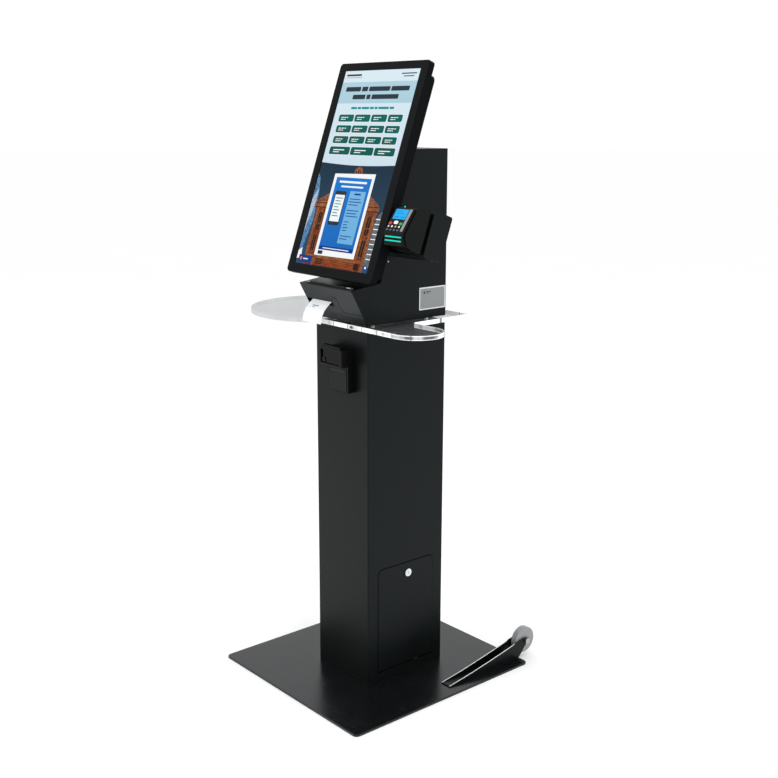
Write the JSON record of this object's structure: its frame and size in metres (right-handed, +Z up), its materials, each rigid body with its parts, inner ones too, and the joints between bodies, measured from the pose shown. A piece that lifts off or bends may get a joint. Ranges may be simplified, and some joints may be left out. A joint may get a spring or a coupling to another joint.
{
  "type": "self checkout kiosk",
  "caption": "Free-standing self-checkout kiosk: slim column on a base plate, tilted touchscreen, receipt printer, card terminal, code reader, clear side shelf and tilt-back wheels.",
  "frame": {"origin": "centre of the base plate's underside, on the floor", "axes": "+Z up, -Y towards the customer in front of the screen, +X to the side with the card terminal and the service door"},
  "size_m": [0.7418, 0.7065, 1.6805],
  "materials": {
    "base_black": "semi-gloss black powder coat",
    "shell_black": "satin black powder coat",
    "zinc_steel": "bright zinc-plated steel",
    "bare_steel": "plain folded steel sheet",
    "bare_aluminium": "mill finish",
    "clear_shelf": "clear cast acrylic, polished edges",
    "lock_chrome": "polished chrome",
    "receipt_paper": "white thermal paper",
    "platen_rubber": "smooth black rubber",
    "grommet_rubber": "matt black rubber",
    "case_grey": "fine-texture grey paint",
    "bezel_plastic": "dark grey fine-texture plastic",
    "screen_glass": "black-backed clear glass",
    "label_plate": "satin, clear lacquer",
    "pad_housing": "dark grey moulded plastic",
    "pad_black": "satin black moulded plastic",
    "pad_display": "lit display behind clear glass",
    "pad_light": "translucent lit light guide",
    "scanner_plastic": "black moulded plastic",
    "wheel_plastic": "translucent pale grey polyurethane",
    "key_dark": "moulded black key cap with a printed spot",
    "key_red": "moulded key cap",
    "key_green": "moulded key cap",
    "key_white": "moulded key cap"
  },
  "bodies": {
    "stand": {"base_plate": "base_black", "column_shell": "shell_black", "column_foot_frame": "shell_black", "column_foot_bolts": "zinc_steel", "column_top_plate": "shell_black", "shelf_panel": "clear_shelf", "shelf_bolts": "zinc_steel", "head_shell": "shell_black", "head_base_plate": "shell_black", "prow_lower_panel": "shell_black", "printer_cover_hinge": "zinc_steel", "printer_chassis": "bare_steel", "paper_spindle": "bare_steel", "print_head": "bare_aluminium", "receipt_strip": "receipt_paper", "mini_pc": "case_grey", "power_supply": "bare_steel", "cable_grommet": "grommet_rubber", "monitor_bezel": "bezel_plastic", "touch_glass": "screen_glass", "lcd_panel": "bare_aluminium", "monitor_rear_housing": "bezel_plastic", "screen_bracket": "shell_black", "rating_plate": "label_plate", "access_door_hinge_pin": "zinc_steel", "pinpad_bracket": "shell_black", "pinpad_housing": "pad_housing", "pinpad_terminal": "pad_black", "pinpad_display": "pad_display", "pinpad_card_lights": "pad_light", "scanner_cradle": "shell_black", "scanner_head": "scanner_plastic", "scanner_window": "screen_glass", "wheel_carrier_right": "shell_black", "wheel_carrier_left": "shell_black", "wheel_axle_right": "zinc_steel", "wheel_axle_left": "zinc_steel"},
    "access_door": {"access_door": "shell_black", "access_lock_body": "lock_chrome"},
    "access_lock": {"access_lock_plug": "lock_chrome", "access_lock_cam": "zinc_steel"},
    "rear_door": {"head_rear_door": "shell_black", "rear_lock_body": "lock_chrome"},
    "rear_lock": {"rear_lock_plug": "lock_chrome"},
    "cover": {"printer_cover": "shell_black"},
    "roll": {"paper_roll": "receipt_paper"},
    "platen": {"platen_roller": "platen_rubber"},
    "right_wheel": {"wheel_right": "wheel_plastic"},
    "left_wheel": {"wheel_left": "wheel_plastic"},
    "key_upper_1_cap": {"key_upper_1": "key_dark"},
    "key_upper_2_cap": {"key_upper_2": "key_dark"},
    "key_upper_3_cap": {"key_upper_3": "key_dark"},
    "key_upper_4_cap": {"key_upper_4": "key_dark"},
    "key_lower_1_cap": {"key_lower_1": "key_dark"},
    "key_lower_2_cap": {"key_lower_2": "key_dark"},
    "key_lower_3_cap": {"key_lower_3": "key_dark"},
    "key_lower_4_cap": {"key_lower_4": "key_dark"},
    "key_cancel_cap": {"key_cancel": "key_red"},
    "key_enter_cap": {"key_enter": "key_green"},
    "key_navigate_cap": {"key_navigate": "key_white"}
  },
  "joints": [
    {"name": "access_door_hinge", "type": "hinge", "parent": "stand", "child": "access_door", "pos_m": [0.1058, 0.0155, 0.034], "axis": [0, 1, 0], "range_deg": [0, 90]},
    {"name": "access_lock_turn", "type": "hinge", "parent": "access_door", "child": "access_lock", "pos_m": [0.11, 0.022, 0.302], "axis": [1, 0, 0], "range_deg": [0, 90]},
    {"name": "rear_door_hinge", "type": "hinge", "parent": "stand", "child": "rear_door", "pos_m": [-0.1035, 0.1554, 1.2375], "axis": [0, 0, 1], "range_deg": [0, 110]},
    {"name": "rear_lock_turn", "type": "hinge", "parent": "rear_door", "child": "rear_lock", "pos_m": [0.088, 0.1425, 1.24], "axis": [0, -1, 0], "range_deg": [0, 90]},
    {"name": "printer_cover_lift", "type": "hinge", "parent": "stand", "child": "cover", "pos_m": [0, -0.16441, 1.1151], "axis": [-1, 0, 0], "range_deg": [0, 70]},
    {"name": "platen_spin", "type": "hinge", "parent": "stand", "child": "platen", "pos_m": [-0.0425, -0.14208, 1.0823], "axis": [1, 0, 0], "continuous": true},
    {"name": "paper_roll_spin", "type": "hinge", "parent": "stand", "child": "roll", "pos_m": [-0.0425, -0.044, 1.06], "axis": [1, 0, 0], "continuous": true},
    {"name": "wheel_right_spin", "type": "hinge", "parent": "stand", "child": "right_wheel", "pos_m": [0.2515, 0.3485, 0.052], "axis": [1, 0, 0], "continuous": true},
    {"name": "wheel_left_spin", "type": "hinge", "parent": "stand", "child": "left_wheel", "pos_m": [-0.2515, 0.3485, 0.052], "axis": [1, 0, 0], "continuous": true},
    {"name": "key_upper_1_press", "type": "slide", "parent": "stand", "child": "key_upper_1_cap", "axis": [0, 0.8247, -0.5656], "range_m": [0, 0.0012], "stiffness_N_per_m": 500, "springref_m": -0.0005},
    {"name": "key_upper_2_press", "type": "slide", "parent": "stand", "child": "key_upper_2_cap", "axis": [0, 0.8247, -0.5656], "range_m": [0, 0.0012], "stiffness_N_per_m": 500, "springref_m": -0.0005},
    {"name": "key_upper_3_press", "type": "slide", "parent": "stand", "child": "key_upper_3_cap", "axis": [0, 0.8247, -0.5656], "range_m": [0, 0.0012], "stiffness_N_per_m": 500, "springref_m": -0.0005},
    {"name": "key_upper_4_press", "type": "slide", "parent": "stand", "child": "key_upper_4_cap", "axis": [0, 0.8247, -0.5656], "range_m": [0, 0.0012], "stiffness_N_per_m": 500, "springref_m": -0.0005},
    {"name": "key_lower_1_press", "type": "slide", "parent": "stand", "child": "key_lower_1_cap", "axis": [0, 0.8247, -0.5656], "range_m": [0, 0.0012], "stiffness_N_per_m": 500, "springref_m": -0.0005},
    {"name": "key_lower_2_press", "type": "slide", "parent": "stand", "child": "key_lower_2_cap", "axis": [0, 0.8247, -0.5656], "range_m": [0, 0.0012], "stiffness_N_per_m": 500, "springref_m": -0.0005},
    {"name": "key_lower_3_press", "type": "slide", "parent": "stand", "child": "key_lower_3_cap", "axis": [0, 0.8247, -0.5656], "range_m": [0, 0.0012], "stiffness_N_per_m": 500, "springref_m": -0.0005},
    {"name": "key_lower_4_press", "type": "slide", "parent": "stand", "child": "key_lower_4_cap", "axis": [0, 0.8247, -0.5656], "range_m": [0, 0.0012], "stiffness_N_per_m": 500, "springref_m": -0.0005},
    {"name": "key_cancel_press", "type": "slide", "parent": "stand", "child": "key_cancel_cap", "axis": [0, 0.8247, -0.5656], "range_m": [0, 0.0012], "stiffness_N_per_m": 500, "springref_m": -0.0005},
    {"name": "key_enter_press", "type": "slide", "parent": "stand", "child": "key_enter_cap", "axis": [0, 0.8247, -0.5656], "range_m": [0, 0.0012], "stiffness_N_per_m": 500, "springref_m": -0.0005},
    {"name": "key_navigate_press", "type": "slide", "parent": "stand", "child": "key_navigate_cap", "axis": [0, 0.8247, -0.5656], "range_m": [0, 0.0012], "stiffness_N_per_m": 500, "springref_m": -0.0005}
  ],
  "couplings": [
    {"joint": "paper_roll_spin", "follows": "platen_spin", "ratio": -0.2059}
  ]
}
